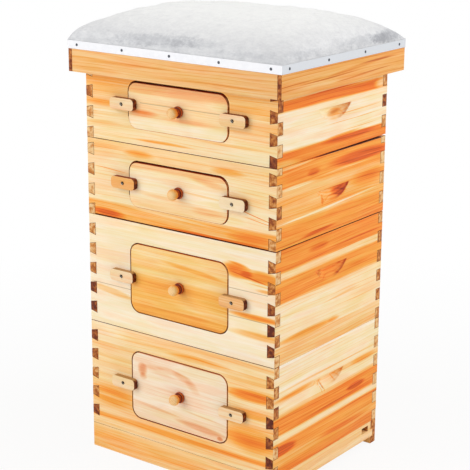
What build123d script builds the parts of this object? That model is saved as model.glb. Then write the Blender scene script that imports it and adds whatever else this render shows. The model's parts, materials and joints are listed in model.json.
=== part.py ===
from build123d import *
import os

# A ten-frame hive of two deep and two medium boxes with shuttered windows. Sizes are in millimetres.
# X runs along the window side, Y from front to back, Z up from the ground; the windows face -Y.

# Boxes, outside
box_length = 500.0
box_width = 410.0
deep_height = 247.0
medium_height = 170.0
board = 18.0  # thickness of the box boards

# Through dovetails: pins of the short boards pass between tails of the front and back boards
finger = 22.45  # height of a pin at mid thickness, and of the tail above it
pin_flare = 2.0  # how much further a pin reaches up and down on its inner side than at mid thickness
least_tail = 8.0  # shortest tail left at the top edge

# Half-moon hand-holds milled into the short boards
hold_width = 128.0
hold_height = 32.0
hold_depth = 11.0  # at the middle of the ledge
hold_drop = 74.0  # from the top edge of the box down to the ledge

# Window: a shutter cut flush into the front board, bearing on a clear pane behind it
window_side_margin = 120.0  # from the ends of the box to the shutter
deep_window_margin = 47.0  # from the box's top and bottom edges to the shutter
medium_window_margin = 36.5
shutter_corner = 22.0
kerf = 2.0  # gap all round the shutter
low_gap = 0.5  # what is left of it under the medium boxes' shutters, which sit low
left_gap = 1.1  # and on the left of them
pane_thickness = 4.0
pane_lap = 12.0  # how far the pane reaches past the opening
pane_play = 0.3
shutter_play = 0.3  # between the shutter's back and the pane

# Turned knob, glued into the shutter by its tenon
knob_offset = 4.0  # to the right of the shutter's middle
knob_diameter = 23.5
knob_length = 32.0
knob_collar_diameter = 25.0
knob_collar_length = 6.0
knob_neck_diameter = 13.0
knob_neck_length = 3.5
knob_flat_diameter = 8.0  # small flat at the tip
tenon_diameter = 9.0
tenon_length = 10.0
tenon_play = 0.1

# Turn buttons, each on one round-head screw
button_length = 64.0
button_width = 25.0
button_thickness = 12.0
button_corner = 8.0
button_lap = 13.5  # how far a closed button reaches over the shutter
button_shift = 7.5  # how much further the left ones of the medium boxes reach
button_gap = 0.3  # between the button and the board, and under the screw's head
screw_diameter = 4.0
screw_head_diameter = 7.5
screw_head_height = 2.4
screw_flat_diameter = 2.6
screw_bite = 11.0  # how far the screw goes into the board
screw_play = 0.08  # round the screw in the button's hole

# Frames, hung by their lugs in a rebate along the top of the short boards
frame_count = 10
side_space = 12.0  # between the outermost frames and the long boards
frame_play = 0.4  # between the end bars of neighbours
top_space = 6.0  # bee space over the top bars
bottom_space = 8.0  # bee space under the bottom bars
end_space = 8.0  # bee space between the end bars and the short boards
rest_width = 9.5  # width of the rebate's ledge
lug_play = 1.5
lug_depth = 10.0
top_bar_gap = 8.0  # between the top bars of neighbours
top_bar_depth = 19.0
end_bar_thickness = 9.5
end_bar_gap = 7.0  # between the waists of neighbouring end bars
end_bar_shoulder = 60.0  # length of the wide upper stretch
end_bar_taper = 15.0
bottom_bar_gap = 16.0
bottom_bar_depth = 10.0
foundation_thickness = 2.0

# Floor
floor_rail_height = 57.0
floor_rail = 20.0
floor_plank = 18.0  # thickness
floor_groove = 8.0
floor_plank_count = 5
entrance_height = 22.0
reducer_depth = 20.0
reducer_play = 0.5
notch_width = 26.0
notch_height = 14.0
notch_inset = 12.0  # from the bar's far end

# Inner cover
cover_height = 21.0
cover_rail = 40.0
cover_panel = 8.0
cover_groove = 10.0
escape_length = 95.0
escape_width = 32.0

# Roof: a rim that drops over the top box, a deck, and a crowned sheet folded down over the deck's edge
roof_gap = 6.2  # between the rim and the box
roof_rail = 19.0
roof_drop = 27.5  # how far the rim reaches down past the top of the box
roof_tongue = 10.0  # thickness of the lap that shows at the ends of the long rails
deck = 19.0
sheet = 0.8
sheet_fold = 18.5
crown_rise = 70.0
crown_side_shoulder = 20.0  # over the long sides the crown rises softly
crown_end_shoulder = 2.0  # at the short ends it is fuller and steeper
crown_side_degree = 5
crown_end_degree = 9
long_nail_count = 5
short_nail_count = 4
nail_margin = 25.0
nail_head_diameter = 6.0
nail_head_height = 1.2
nail_diameter = 2.2
nail_bite = 22.0

# Worked out from the sizes above
inner_length = box_length - 2 * board
inner_width = box_width - 2 * board
front_face = -box_width / 2
right_face = box_length / 2
rest_depth = lug_depth + top_space
frame_pitch = (inner_width - 2 * side_space) / frame_count
shutter_width = box_length - 2 * window_side_margin
opening_width = shutter_width + 2 * kerf
opening_corner = shutter_corner + kerf
pane_corner = opening_corner + pane_lap
shutter_thickness = board - pane_thickness - shutter_play
button_centre = shutter_width / 2 + button_length / 2 - button_lap
floor_top = floor_rail_height - entrance_height
boxes_top = floor_rail_height + 2 * deep_height + 2 * medium_height
deck_bottom = boxes_top + cover_height
deck_top = deck_bottom + deck
roof_length = box_length + 2 * (roof_gap + roof_rail)
roof_width = box_width + 2 * (roof_gap + roof_rail)

# The plane of the window side: X to the right, Y up the hive and Z out of it
facing_front = Plane(origin=(0, front_face, 0), x_dir=(1, 0, 0), z_dir=(0, -1, 0))


def block(x_span, y_span, z_span):
    middle = [(low + high) / 2 for low, high in (x_span, y_span, z_span)]
    size = [high - low for low, high in (x_span, y_span, z_span)]
    return Pos(*middle) * Box(*size)


def both(half):
    return (-half, half)


def on_front(across, up, out, piece):
    return facing_front * (Pos(across, up, out) * piece)


def save(node, pieces):
    export_step(Compound(children=list(pieces)), f"parts/{node}.step")


# Dovetailed boards of one box, with the box's bottom edge at Z 0


def pin_spans(height, lowest_tail):
    spans = []
    low = lowest_tail
    while low + finger + least_tail <= height:
        spans.append((low, low + finger))
        low += 2 * finger
    return spans


def corner_pins(height, lowest_tail):
    # Pins at the front right corner. One that starts at the bottom edge is cut off square there.
    pins = []
    inner_x = right_face - board
    for low, high in pin_spans(height, lowest_tail):
        low_flare = pin_flare if low > 0 else 0
        outline = Polyline(
            (inner_x, low - low_flare),
            (right_face, low + low_flare),
            (right_face, high - pin_flare),
            (inner_x, high + pin_flare),
            close=True,
        )
        pins.append(Pos(0, front_face + board, 0) * extrude(Plane.XZ * make_face(outline), board))
    return pins


def hand_hold(height):
    # A ball-shaped scoop cut off flat at the top, which leaves the ledge for the fingers.
    ledge = height - hold_drop
    arc_radius = ((hold_width / 2) ** 2 + hold_height**2) / (2 * hold_height)
    over_ledge = arc_radius - hold_height
    ball_offset = (arc_radius**2 - over_ledge**2 - hold_depth**2) / (2 * hold_depth)
    ball_radius = (ball_offset**2 + arc_radius**2) ** 0.5
    ball = Pos(right_face + ball_offset, 0, ledge + over_ledge) * Sphere(ball_radius)
    cut_x = (right_face - board, right_face + board)
    cut_z = (ledge - 2 * hold_height, ledge)
    return ball & block(cut_x, both(hold_width), cut_z)


def short_board(height, lowest_tail):
    right = block((right_face - board, right_face), both(inner_width / 2), (0, height))
    near_pins = corner_pins(height, lowest_tail)
    far_pins = [mirror(pin, Plane.XZ) for pin in near_pins]
    right = right + near_pins + far_pins
    rebate_x = (right_face - board, right_face - board + rest_width)
    right -= block(rebate_x, both(inner_width / 2), (height - rest_depth, height))
    return right - hand_hold(height)


def long_board(height, lowest_tail):
    front = block(both(box_length / 2), (front_face, front_face + board), (0, height))
    right_pins = corner_pins(height, lowest_tail)
    left_pins = [mirror(pin, Plane.YZ) for pin in right_pins]
    return front - right_pins - left_pins


def window_plate(width, tall, corner, centre, inset, thickness):
    # A plate with round corners standing in the front board, its outer side that far in from the face.
    plate = extrude(RectangleRounded(width, tall, corner), -thickness)
    return on_front(0, centre, -inset, plate)


def windowed_board(height, lowest_tail, shutter_height):
    opening_height = shutter_height + 2 * kerf
    rebate_width = opening_width + 2 * pane_lap
    rebate_height = opening_height + 2 * pane_lap
    centre = height / 2
    front = long_board(height, lowest_tail)
    front -= window_plate(opening_width, opening_height, opening_corner, centre, 0, board)
    front -= window_plate(
        rebate_width, rebate_height, pane_corner, centre, board - pane_thickness, pane_thickness
    )
    return front


# What closes the window


def window_pane(height, shutter_height):
    width = opening_width + 2 * (pane_lap - pane_play)
    tall = shutter_height + 2 * (kerf + pane_lap - pane_play)
    inset = board - pane_thickness
    return window_plate(width, tall, pane_corner - pane_play, height / 2, inset, pane_thickness)


def shutter(height, shutter_height):
    plate = window_plate(shutter_width, shutter_height, shutter_corner, height / 2, 0, shutter_thickness)
    hole = extrude(Circle(tenon_diameter / 2 + tenon_play), -tenon_length - tenon_play)
    return plate - on_front(knob_offset, height / 2, 0, hole)


def knob(height):
    # Half the knob's outline, turned round its length: tenon, rounded collar, neck and ball-like head.
    tenon = tenon_diameter / 2
    rim = knob_collar_length / 2
    collar = knob_collar_diameter / 2 - rim
    neck = knob_neck_diameter / 2
    neck_end = knob_collar_length + knob_neck_length
    widest = (knob_diameter / 2, (neck_end + knob_length) / 2)
    tip = (knob_flat_diameter / 2, knob_length)
    outline = [
        Polyline((0, -tenon_length), (tenon, -tenon_length), (tenon, 0), (collar, 0)),
        ThreePointArc((collar, 0), (collar + rim, rim), (collar, knob_collar_length)),
        Polyline((collar, knob_collar_length), (neck, knob_collar_length), (neck, neck_end)),
        TangentArc(widest, (neck, neck_end), tangent=(0, -1)),
        TangentArc(widest, tip, tangent=(0, 1)),
        Polyline(tip, (0, knob_length), (0, -tenon_length)),
    ]
    return on_front(knob_offset, height / 2, 0, revolve(Plane.XZ * make_face(outline), Axis.Z))


def button(height, across):
    bar = extrude(RectangleRounded(button_length, button_width, button_corner), button_thickness)
    bar -= extrude(Circle(screw_diameter / 2 + screw_play), button_thickness)
    return on_front(across, height / 2, button_gap, bar)


def button_screw(height, across):
    # Half the screw's outline, turned: shank through the button into the board, and a round head.
    seat = button_gap + button_thickness + button_gap
    shank = screw_diameter / 2
    head_edge = (screw_head_diameter / 2, seat)
    tip = (screw_flat_diameter / 2, seat + screw_head_height)
    outline = [
        Polyline((0, -screw_bite), (shank, -screw_bite), (shank, seat), head_edge),
        TangentArc(head_edge, tip, tangent=(0, 1)),
        Polyline(tip, (0, seat + screw_head_height), (0, -screw_bite)),
    ]
    screw = revolve(Plane.XZ * make_face(outline), Axis.Z)
    return on_front(across, height / 2, 0, screw)


# Frames of one box


def frame_bars(height):
    top = height - top_space
    seat = height - rest_depth
    bar_end = inner_length / 2 + rest_width - lug_play
    inside = inner_length / 2 - end_space - end_bar_thickness
    body_bottom = top - top_bar_depth
    top_outline = Polyline(
        (-bar_end, top),
        (bar_end, top),
        (bar_end, seat),
        (inside, seat),
        (inside, body_bottom),
        (-inside, body_bottom),
        (-inside, seat),
        (-bar_end, seat),
        close=True,
    )
    top_bar = extrude(Plane.XZ * make_face(top_outline), (frame_pitch - top_bar_gap) / 2, both=True)
    shoulder = (frame_pitch - frame_play) / 2
    waist = (frame_pitch - end_bar_gap) / 2
    shoulder_end = seat - end_bar_shoulder
    taper_end = shoulder_end - end_bar_taper
    end_outline = Polyline(
        (-shoulder, seat),
        (shoulder, seat),
        (shoulder, shoulder_end),
        (waist, taper_end),
        (waist, bottom_space),
        (-waist, bottom_space),
        (-waist, taper_end),
        (-shoulder, shoulder_end),
        close=True,
    )
    right_end_bar = Pos(inside, 0, 0) * extrude(Plane.YZ * make_face(end_outline), end_bar_thickness)
    left_end_bar = mirror(right_end_bar, Plane.YZ)
    bottom_z = (bottom_space, bottom_space + bottom_bar_depth)
    bottom_bar = block(both(inside), both((frame_pitch - bottom_bar_gap) / 2), bottom_z)
    return [top_bar, right_end_bar, left_end_bar, bottom_bar]


def foundation(height):
    inside = inner_length / 2 - end_space - end_bar_thickness
    z_span = (bottom_space + bottom_bar_depth, height - top_space - top_bar_depth)
    return block(both(inside), both(foundation_thickness / 2), z_span)


def save_box(name, bottom, height, window_margin, lowest_tail, settle, left_shift):
    lift = Pos(0, 0, bottom)
    closed = lift * settle
    shutter_height = height - 2 * window_margin
    right = short_board(height, lowest_tail)
    save(f"{name}_front_board", [lift * windowed_board(height, lowest_tail, shutter_height)])
    save(f"{name}_back_board", [lift * mirror(long_board(height, lowest_tail), Plane.XZ)])
    save(f"{name}_right_board", [lift * right])
    save(f"{name}_left_board", [lift * mirror(right, Plane.YZ)])
    save(f"{name}_window_pane", [lift * window_pane(height, shutter_height)])
    save(f"{name}_shutter", [closed * shutter(height, shutter_height)])
    save(f"{name}_knob", [closed * knob(height)])
    left_centre = left_shift - button_centre
    save(f"{name}_left_button", [lift * button(height, left_centre)])
    save(f"{name}_right_button", [lift * button(height, button_centre)])
    screws = [button_screw(height, across) for across in (left_centre, button_centre)]
    save(f"{name}_button_screws", [lift * screw for screw in screws])
    rows = [(index - (frame_count - 1) / 2) * frame_pitch for index in range(frame_count)]
    bars = frame_bars(height)
    save(f"{name}_frames", [lift * Pos(0, row, 0) * bar for row in rows for bar in bars])
    save(f"{name}_foundations", [lift * Pos(0, row, 0) * foundation(height) for row in rows])


# Floor and entrance


def save_floor():
    plank_z = (floor_top - floor_plank, floor_top)
    rail_inside = box_width / 2 - floor_rail
    groove_y = rail_inside + floor_groove
    back_inside = -box_length / 2 + floor_rail
    plank_start = back_inside - floor_groove
    groove = block((plank_start, right_face), both(groove_y), plank_z)
    side_rail = block(both(right_face), (rail_inside, box_width / 2), (0, floor_rail_height)) - groove
    save("floor_side_rails", [side_rail, mirror(side_rail, Plane.XZ)])
    back_rail = block((-right_face, back_inside), both(rail_inside), (0, floor_rail_height)) - groove
    save("floor_back_rail", [back_rail])
    step = (right_face - plank_start) / floor_plank_count
    starts = [plank_start + index * step for index in range(floor_plank_count)]
    save("floor_planks", [block((start, start + step), both(groove_y), plank_z) for start in starts])
    bar_end = rail_inside - reducer_play
    bar_x = (right_face - reducer_depth, right_face)
    bar = block(bar_x, both(bar_end), (floor_top, floor_rail_height - reducer_play))
    notch_y = (bar_end - notch_inset - notch_width, bar_end - notch_inset)
    bar -= block(bar_x, notch_y, (floor_top, floor_top + notch_height))
    save("entrance_reducer", [bar])


# Inner cover


def save_inner_cover():
    cover_z = (boxes_top, boxes_top + cover_height)
    panel_low = boxes_top + (cover_height - cover_panel) / 2
    panel_z = (panel_low, panel_low + cover_panel)
    panel_x = box_length / 2 - cover_rail + cover_groove
    panel_y = box_width / 2 - cover_rail + cover_groove
    panel = block(both(panel_x), both(panel_y), panel_z)
    long_rail = block(both(box_length / 2), (box_width / 2 - cover_rail, box_width / 2), cover_z) - panel
    short_x = (box_length / 2 - cover_rail, box_length / 2)
    short_rail = block(short_x, both(box_width / 2 - cover_rail), cover_z) - panel
    escape = Pos(0, 0, panel_low) * extrude(SlotOverall(escape_length, escape_width), cover_panel)
    save("inner_cover_panel", [panel - escape])
    rails = [long_rail, mirror(long_rail, Plane.XZ), short_rail, mirror(short_rail, Plane.YZ)]
    save("inner_cover_rim", rails)


# Roof


def crown(length, width, rise):
    # A pillow on a flat rectangle: one surface whose inner control points all stand at one height.
    peak = rise
    for degree in (crown_end_degree, crown_side_degree):
        peak /= 1 - 2 * 0.5**degree

    def stations(size, shoulder, degree):
        first = -size / 2 + shoulder
        step = (size - 2 * shoulder) / (degree - 2)
        return [-size / 2, *[first + index * step for index in range(degree - 1)], size / 2]

    def control(x, y):
        inside = abs(x) < length / 2 and abs(y) < width / 2
        return (x, y, peak if inside else 0)

    x_stations = stations(length, crown_end_shoulder, crown_end_degree)
    y_stations = stations(width, crown_side_shoulder, crown_side_degree)
    top = Face.make_bezier_surface([[control(x, y) for y in y_stations] for x in x_stations])
    return Solid(Shell([top, Face(Wire(top.edges()))]))


def nail_row(count, length, reach):
    # Nails along one side of the fold, which lies that far out from the middle of the roof.
    head = Pos(0, 0, sheet) * extrude(Circle(nail_head_diameter / 2), nail_head_height)
    shank = extrude(Circle(nail_diameter / 2), sheet)
    point = extrude(Circle(nail_diameter / 2), -nail_bite)
    nail = head + shank + point
    step = (length - 2 * nail_margin) / (count - 1)
    spots = [nail_margin - length / 2 + index * step for index in range(count)]
    height = deck_top - sheet_fold / 2
    side = Plane(origin=(0, -reach, height), x_dir=(1, 0, 0), z_dir=(0, -1, 0))
    return [side * (Pos(spot, 0, 0) * nail) for spot in spots]


def save_roof():
    rail_z = (boxes_top - roof_drop, deck_bottom)
    half_length = roof_length / 2
    half_width = roof_width / 2
    long_rail = block(both(half_length - roof_tongue), (half_width - roof_rail, half_width), rail_z)
    long_rails = [long_rail, mirror(long_rail, Plane.XZ)]
    save("roof_long_rails", long_rails)
    short_rail = block((half_length - roof_rail, half_length), both(half_width), rail_z) - long_rails
    save("roof_short_rails", [short_rail, mirror(short_rail, Plane.YZ)])
    deck_board = block(both(half_length), both(half_width), (deck_bottom, deck_top))
    save("roof_deck", [deck_board])
    fold_z = (deck_top - sheet_fold, deck_top)
    fold = block(both(half_length + sheet), both(half_width + sheet), fold_z) - deck_board
    shell = crown(roof_length + 2 * sheet, roof_width + 2 * sheet, crown_rise)
    shell -= crown(roof_length, roof_width, crown_rise - sheet)
    save("roof_sheet", [fold + Pos(0, 0, deck_top) * shell])
    nails = nail_row(long_nail_count, roof_length, half_width)
    nails += [mirror(nail, Plane.XZ) for nail in nails]
    side_nails = [Rot(0, 0, 90) * nail for nail in nail_row(short_nail_count, roof_width, half_length)]
    side_nails += [mirror(nail, Plane.YZ) for nail in side_nails]
    save("roof_nails", nails + side_nails)


os.makedirs("parts", exist_ok=True)
save_floor()
level = floor_rail_height
for name in ("lower_deep", "upper_deep"):
    save_box(name, level, deep_height, deep_window_margin, finger, Pos(0, 0, 0), 0)
    level += deep_height
settled = Pos(left_gap - kerf, 0, low_gap - kerf)
for name in ("lower_medium", "upper_medium"):
    save_box(name, level, medium_height, medium_window_margin, 0, settled, button_shift)
    level += medium_height
save_inner_cover()
save_roof()
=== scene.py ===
import json
import math
import random
from functools import partial

import bmesh
import bpy
from mathutils import Matrix, Vector, noise


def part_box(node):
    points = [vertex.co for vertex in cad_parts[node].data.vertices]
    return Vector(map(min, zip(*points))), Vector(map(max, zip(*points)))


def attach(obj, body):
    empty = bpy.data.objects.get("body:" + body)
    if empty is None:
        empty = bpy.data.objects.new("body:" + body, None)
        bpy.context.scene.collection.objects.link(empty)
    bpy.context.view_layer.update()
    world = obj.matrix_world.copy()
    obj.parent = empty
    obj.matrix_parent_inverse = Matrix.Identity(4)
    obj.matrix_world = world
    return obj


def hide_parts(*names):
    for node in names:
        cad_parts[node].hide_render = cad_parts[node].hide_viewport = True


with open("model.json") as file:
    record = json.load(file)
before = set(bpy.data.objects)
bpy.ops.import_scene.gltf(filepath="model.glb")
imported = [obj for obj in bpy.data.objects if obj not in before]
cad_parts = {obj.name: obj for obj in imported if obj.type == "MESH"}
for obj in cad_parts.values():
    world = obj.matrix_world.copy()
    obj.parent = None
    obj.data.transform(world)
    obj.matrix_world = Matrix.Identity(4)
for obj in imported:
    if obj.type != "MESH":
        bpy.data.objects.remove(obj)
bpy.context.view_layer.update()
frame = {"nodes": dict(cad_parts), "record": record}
nodeBody = {node: body for body, nodes in frame["record"]["behaviour"]["bodies"].items() for node in nodes}
mm = 0.001
squareCorners = ((-1, -1), (1, -1), (1, 1), (-1, 1))
print("frame loaded,", len(frame["nodes"]), "nodes")


def linear(code):
    parts = [int(code[start:start + 2], 16) / 255 for start in (1, 3, 5)]
    return [part / 12.92 if part <= 0.04045 else ((part + 0.055) / 1.055) ** 2.4 for part in parts] + [1.0]


def addNode(tree, kind, links=(), operation=None, stops=(), **settings):
    # one node: its settings, its ramp stops, and for each socket a link or a plain value. A list fills the
    # sockets in order, a node means its first output, a hex code a colour, and a number in a ramp a grey.
    # The bare name of an operation means a Math node
    if kind.isupper():
        kind, operation = "Math", kind
    node = tree.nodes.new(kind if kind.startswith("Node") else "ShaderNode" + kind)
    for name, value in settings.items():
        setattr(node, name, value)
    if operation:
        node.operation = operation
    stops = [(spot, linear(tone) if isinstance(tone, str) else (tone,) * 3 + (1,)) for spot, tone in stops]
    if stops:
        elements = node.color_ramp.elements
        for element, stop in zip((elements[0], elements[1]), (stops[0], stops[-1])):
            element.position, element.color = stop
        for spot, colour in stops[1:-1]:
            elements.new(spot).color = colour
    for socket, source in links.items() if isinstance(links, dict) else enumerate(links):
        if isinstance(source, bpy.types.Node):
            source = source.outputs[0]
        if isinstance(source, bpy.types.NodeSocket):
            tree.links.new(source, node.inputs[socket])
        else:
            node.inputs[socket].default_value = linear(source) if isinstance(source, str) else source
    return node


def newFinish(name):
    material = bpy.data.materials.new(name)
    material.use_nodes = True
    material.node_tree.nodes.clear()
    add = partial(addNode, material.node_tree)
    return material, add, add("TexCoord").outputs


def newGroup(name, inputs, outputs, kind="Float"):
    tree = bpy.data.node_groups.new(name, "ShaderNodeTree")
    for label in inputs:
        tree.interface.new_socket(label, in_out="INPUT", socket_type="NodeSocket" + kind)
    for label in outputs:
        tree.interface.new_socket(label, in_out="OUTPUT", socket_type="NodeSocketFloat")
    add = partial(addNode, tree)
    return tree, add, add("NodeGroupInput").outputs


# Fir, planed. Long grain shows soft bands of pale sapwood and orange heartwood, fine fibres, and thin
# dark latewood lines that run as contours round the swirls of the log. Lengths and widths in mm.
grainSizes = {
    "waver": (420, 80, 2, 0.5),  # length, width, detail and roughness of the slow wander of the grain
    "waverReach": 4.5,
    "bands": (560, 13, 4, 0.58),  # the sapwood and heartwood bands
    "fibre": (150, 1.8, 2, 0.58),  # real fibres are finer; drawn as coarse as a pixel needs
    "swirls": (700, 70, 1, 0.58),
    "lines": (7.5, 5, 0.16),  # spacing, lines per swirl, share of the spacing that is dark
    "tilt": 1.4,  # the lines move so far across for each mm through the board
}


def makeGrain():
    tree, add, given = newGroup("firGrain", ["Grain"], ["Waver", "Bands", "Fibre", "Rings"], "Vector")

    def stretched(source, length, width, detail, roughness):
        scaled = add("VectorMath", [source, (1 / length, 1 / width, 1 / width)], "MULTIPLY")
        return add("TexNoise", {"Vector": scaled, "Scale": 1, "Detail": detail, "Roughness": roughness})

    reach = grainSizes["waverReach"]
    waver = add("MapRange", [stretched(given[0], *grainSizes["waver"]), 0.25, 0.75, -reach, reach])
    warped = add("VectorMath", [given[0], add("CombineXYZ", {1: waver})], "ADD")
    bands, fibre, swirls = (stretched(warped, *grainSizes[label]) for label in ("bands", "fibre", "swirls"))
    spacing, count, dark = grainSizes["lines"]
    axes = add("SeparateXYZ", [warped]).outputs
    rows = add("MULTIPLY_ADD", [axes[2], grainSizes["tilt"], axes[1]])
    rows = add("DIVIDE", [rows, spacing])
    rows = add("MULTIPLY_ADD", [swirls, count, rows])
    wave = add("PINGPONG", [rows, 0.5])
    line = add("MapRange", [wave, 0.0, dark, 1.0, 0.0], interpolation_type="SMOOTHSTEP")
    fade = add("MapRange", [bands, 0.35, 0.65, 0.25, 1.0])
    add("NodeGroupOutput", [waver, bands, fibre, add("MULTIPLY", [line, fade])])
    return tree


# one long patch of darker or paler tone, pointed at its ends and feathered along the grain
patchSizes = {
    "wander": 0.5,  # share of the grain's wander that it follows
    "fray": 1.8, "edge": (0.9, 2.1),  # how far the bands break its edge up, and where that edge fades
    "lively": (1.1, 0.45),  # deeper in the dark bands: share of the bands, share everywhere
}


def makePatch():
    labels = ["Along", "Across", "Waver", "Bands", "Middle", "Height", "HalfLength", "HalfWidth", "Slope",
              "Tone"]
    tree, add, given = newGroup("softPatch", labels, ["Tone"])
    along, across, waver, bands, middle, height, halfLength, halfWidth, slope, tone = (
        given[label] for label in labels)
    reach = add("SUBTRACT", [along, middle])
    share = add("DIVIDE", [reach, halfLength])
    square = add("MULTIPLY", [share, share])
    tilt = add("MULTIPLY_ADD", [reach, slope, height])
    offset = add("SUBTRACT", [across, tilt])
    offset = add("MULTIPLY_ADD", [waver, patchSizes["wander"], offset])
    rise = add("DIVIDE", [offset, halfWidth])
    far = add("MULTIPLY_ADD", [rise, rise, square])
    far = add("MULTIPLY_ADD", [bands, patchSizes["fray"], far])
    soft = add("MapRange", [far, *patchSizes["edge"], 1.0, 0.0], interpolation_type="SMOOTHSTEP")
    lively = add("MULTIPLY_ADD", [bands, *patchSizes["lively"]])
    soft = add("MULTIPLY", [soft, lively])
    add("NodeGroupOutput", [add("MULTIPLY", [soft, tone])])
    return tree


grainGroup = makeGrain()
patchGroup = makePatch()


def addPatches(add, tone, ways, bottom, patches):
    # each patch is (middle along, height over the bottom, half length, half width, slope, tone added)
    for middle, height, *rest in patches:
        patch = add("Group", [*ways, middle, bottom + height, *rest], node_tree=patchGroup)
        tone = add("ADD", [tone, patch])
    return tone


def within(add, mask, *ranges):
    # the mask kept where every place is at most half away from its centre
    for place, centre, half in ranges:
        near = add("COMPARE", [place, centre, half])
        mask = add("MULTIPLY", [mask, near])
    return mask


# Tone runs from bleached sapwood at -0.15 over honey and orange to russet heartwood at 1 and char at 1.7.
toneLevels = (-0.15, 0.0, 0.2, 0.42, 0.6, 0.8, 1.0, 1.3, 1.7)
firTones = "#FDF3E2 #FCECD0 #FBDFAD #F9C681 #F9AB48 #F48A2C #E66416 #8C2E04 #461000".split()
blushTones = "#FDF3E2 #FCECD0 #FBE2B2 #F9CC90 #F6B074 #F28A3A #E66416 #8C2E04 #461000".split()
pinkTones = "#FBF0E2 #F9E6CC #F4D2AC #F0BC92 #E9A273 #DE8750 #C8632F #8E3D18 #3A160A".split()
amberTones = "#FCF1DC #FBE9C8 #FADCA2 #F9C877 #F8B350 #EE9A3C #D9701E #8C3A12 #3A140A".split()
rimTones = "#F6E8D0 #F4DFBE #F6D7A6 #F3BF7E #EFAA58 #E28C3C #C86828 #8C3A14 #3A140A".split()
sandedTones = "#F8EBD4 #F7E4C4 #F6DAB2 #F2B572 #CE9E66 #BC8E5A #A06A34 #80420E #3A160A".split()
firLook = {
    "tintSpread": (120.0, 22.0, 60.0), "tints": [(0.34, "#FBF9E8"), (0.5, "#FFFFFF"), (0.66, "#FFF3ED")],
    "glue": {"colour": "#6B4A32", "half": (0.3, 1.1), "share": 0.5},
    # the grip colour is the brown of the painted shade and dirt in a hand-hold
    "grip": {"colour": "#B4562A", "depth": 12.0, "below": 16.0, "half": 19.0, "spacing": 4.6, "tilt": 0.3,
             "starts": (0.2, 1.2), "edge": (0.9, 3.2),  # mm under the face: where the cut shows, its edge
             "ovals": 0.4, "near": 0.06, "far": -0.3, "dark": (-0.03, -0.12)},  # slopes by how they face, for painted shade
    "endRings": {"spacing": 2.8, "pith": (60.0, -25.0), "depth": 0.22, "patch": 8.0},
    "strips": (-0.3, 1.5),  # lowest tone and span of the strips, because a ramp holds values from 0 to 1
    "streaked": (-0.1, 1.02),  # tones that streaks stay between
    "fine": (-0.07, 0.13),  # tones that the fibres add
    "stripEdge": 2.5, "singedEdge": 0.4,  # half the width over which a strip and a painted gap shadow fade, in mm
    "endFacing": (0.6, 0.8),  # a face that looks along the grain by this much is end grain
    "roughness": (0.5, 0.68), "relief": 0.3, "strength": 0.25, "ior": 1.5, "specular": 0.25,
}
# what a piece has unless its own look says otherwise
plainFir = {
    "tones": firTones, "rings": 0.16, "streaks": (), "glueLines": (), "scorched": (), "smudges": (),
    "scoop": (0.2, 0.4), "gripDirt": (0.5, 0.4), "ends": (400.0, 0.0), "endTone": 0.1, "endSpread": 0.85,
    "endPatch": 0.3, "endColours": [(0.0, "#EDC68E"), (0.35, "#CF873F"), (0.7, "#984C1C"), (1.0, "#5A1E0C")],
}
grainAxes = {"x": (0, 2, 1), "y": (1, 2, 0)}  # along, across and through for each grain
shownEnds = {"x": "GREATER_THAN", "y": "LESS_THAN"}  # the end of the board that the photograph shows
seedSteps = (731.0, 173.0)  # each piece is cut from another place of the log, so far along and across
flatFacing = 0.75  # a face that looks out of its board by more than this is its front or back


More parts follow.
